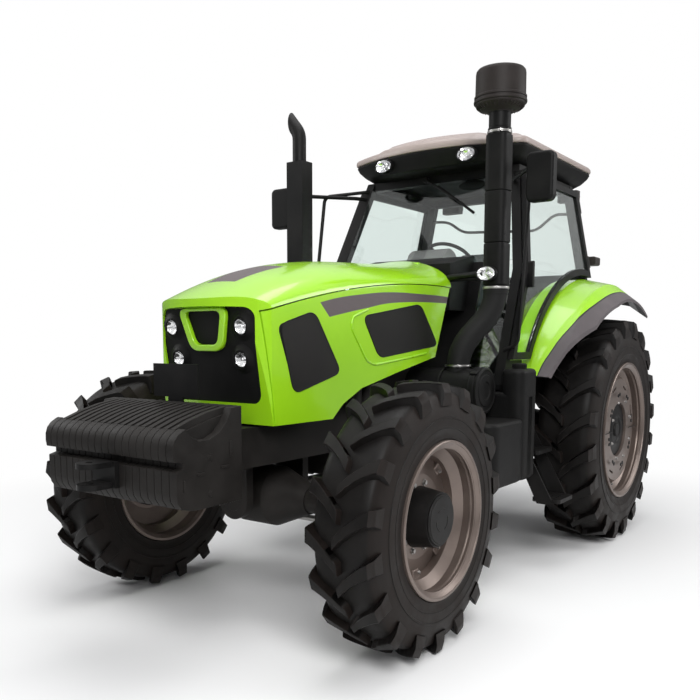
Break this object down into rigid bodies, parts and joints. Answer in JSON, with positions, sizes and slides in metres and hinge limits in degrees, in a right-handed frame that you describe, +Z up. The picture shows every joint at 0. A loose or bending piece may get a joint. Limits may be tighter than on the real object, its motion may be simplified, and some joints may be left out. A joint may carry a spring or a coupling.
{
  "type": "farm tractor",
  "caption": "Farm tractor with a glazed cab, hinged hood, steered front wheels, front weights and a rear three-point linkage.",
  "frame": {"origin": "middle of the underside of the whole tractor's box", "axes": "+X forward, +Y to the tractor's left, +Z up"},
  "size_m": [5.105, 2.3102, 3.12],
  "materials": {
    "tyre_rubber": "worn matt",
    "rim_paint": "satin",
    "green_paint": "gloss",
    "black_paint": "satin",
    "cast_grey": "rough cast",
    "black_plastic": "matt",
    "roof_plastic": "satin",
    "grey_plastic": "matt",
    "cab_glass": "clear green tint",
    "lamp_glass": "clear",
    "hose_rubber": "matt",
    "seat_fabric": "woven",
    "steel": "bare"
  },
  "bodies": {
    "chassis": {"lamp_housings": "roof_plastic", "front_axle": "cast_grey", "front_support": "cast_grey", "engine": "cast_grey", "transmission": "cast_grey", "rear_axle": "cast_grey", "drive_shaft": "steel", "front_weights": "cast_grey", "weight_carrier": "black_paint", "tow_clevis": "black_paint", "hood_side_panels": "green_paint", "side_screens": "black_plastic", "exhaust": "black_paint", "intake_stack": "black_plastic", "intake_hose": "hose_rubber", "air_cleaner": "black_plastic", "cab_frame": "black_paint", "cab_floor": "black_paint", "windscreen": "cab_glass", "rear_window": "cab_glass", "roof_visor": "black_plastic", "cab_roof": "roof_plastic", "seat": "seat_fabric", "console": "black_plastic", "steering_wheel": "black_plastic", "fenders": "green_paint", "fender_flares": "grey_plastic", "fuel_tanks": "black_plastic", "steps": "black_paint", "mirrors": "black_plastic", "work_lamps": "lamp_glass", "cowl": "black_plastic", "rear_hitch": "steel", "linkage_pins": "steel"},
    "hood_lid": {"hood": "green_paint", "grille": "black_plastic", "headlamps": "lamp_glass", "nose_frame": "green_paint"},
    "left_door": {"left_door": "black_paint", "left_door_glass": "cab_glass"},
    "right_door": {"right_door": "black_paint", "right_door_glass": "cab_glass"},
    "left_knuckle": {"left_knuckle": "cast_grey"},
    "right_knuckle": {"right_knuckle": "cast_grey"},
    "tie_rod": {"tie_rod": "steel"},
    "left_front_wheel": {"left_front_wheel": "rim_paint", "left_front_hub": "black_paint", "left_front_tyre": "tyre_rubber"},
    "right_front_wheel": {"right_front_wheel": "rim_paint", "right_front_hub": "black_paint", "right_front_tyre": "tyre_rubber"},
    "left_rear_wheel": {"left_rear_wheel": "rim_paint", "left_rear_tyre": "tyre_rubber"},
    "right_rear_wheel": {"right_rear_wheel": "rim_paint", "right_rear_tyre": "tyre_rubber"},
    "lower_links": {"lower_links": "black_paint"},
    "lift_arms": {"lift_arms": "black_paint"},
    "lift_rods": {"lift_rods": "black_paint"}
  },
  "joints": [
    {"name": "left_steer", "type": "hinge", "parent": "chassis", "child": "left_knuckle", "pos_m": [1.3375, 0.745, 0.66], "axis": [0, 0, 1], "range_deg": [-40, 40]},
    {"name": "right_steer", "type": "hinge", "parent": "chassis", "child": "right_knuckle", "pos_m": [1.3375, -0.745, 0.66], "axis": [0, 0, 1], "range_deg": [-40, 40]},
    {"name": "tie_rod_pin", "type": "hinge", "parent": "left_knuckle", "child": "tie_rod", "pos_m": [1.1475, 0.745, 0.506], "axis": [0, 0, 1], "range_deg": [-40, 40]},
    {"name": "left_front_wheel_turn", "type": "hinge", "parent": "left_knuckle", "child": "left_front_wheel", "pos_m": [1.3375, 0.95, 0.66], "axis": [0, 1, 0], "continuous": true},
    {"name": "right_front_wheel_turn", "type": "hinge", "parent": "right_knuckle", "child": "right_front_wheel", "pos_m": [1.3375, -0.95, 0.66], "axis": [0, 1, 0], "continuous": true},
    {"name": "left_rear_wheel_turn", "type": "hinge", "parent": "chassis", "child": "left_rear_wheel", "pos_m": [-1.4625, 0.94, 0.83], "axis": [0, 1, 0], "continuous": true},
    {"name": "right_rear_wheel_turn", "type": "hinge", "parent": "chassis", "child": "right_rear_wheel", "pos_m": [-1.4625, -0.94, 0.83], "axis": [0, 1, 0], "continuous": true},
    {"name": "hood_hinge", "type": "hinge", "parent": "chassis", "child": "hood_lid", "pos_m": [0.0205, 0, 1.996], "axis": [0, -1, 0], "range_deg": [0, 45]},
    {"name": "left_door_hinge", "type": "hinge", "parent": "chassis", "child": "left_door", "pos_m": [-1.6145, 0.783, 1.97], "axis": [0, -0.1974, 0.9803], "range_deg": [0, 65]},
    {"name": "right_door_hinge", "type": "hinge", "parent": "chassis", "child": "right_door", "pos_m": [-1.6145, -0.783, 1.97], "axis": [0, -0.1974, -0.9803], "range_deg": [0, 65]},
    {"name": "lower_link_lift", "type": "hinge", "parent": "chassis", "child": "lower_links", "pos_m": [-1.6625, 0, 0.6], "axis": [0, 1, 0], "range_deg": [-12, 32]},
    {"name": "lift_arm_turn", "type": "hinge", "parent": "chassis", "child": "lift_arms", "pos_m": [-1.6425, 0, 1.08], "axis": [0, 1, 0], "range_deg": [-12, 32]},
    {"name": "lift_rod_pin", "type": "hinge", "parent": "lower_links", "child": "lift_rods", "pos_m": [-2.0875, 0, 0.58], "axis": [0, 1, 0], "range_deg": [-32, 12]}
  ],
  "couplings": [
    {"joint": "right_steer", "follows": "left_steer", "ratio": 1},
    {"joint": "tie_rod_pin", "follows": "left_steer", "ratio": -1},
    {"joint": "lift_arm_turn", "follows": "lower_link_lift", "ratio": 1},
    {"joint": "lift_rod_pin", "follows": "lower_link_lift", "ratio": -1}
  ]
}
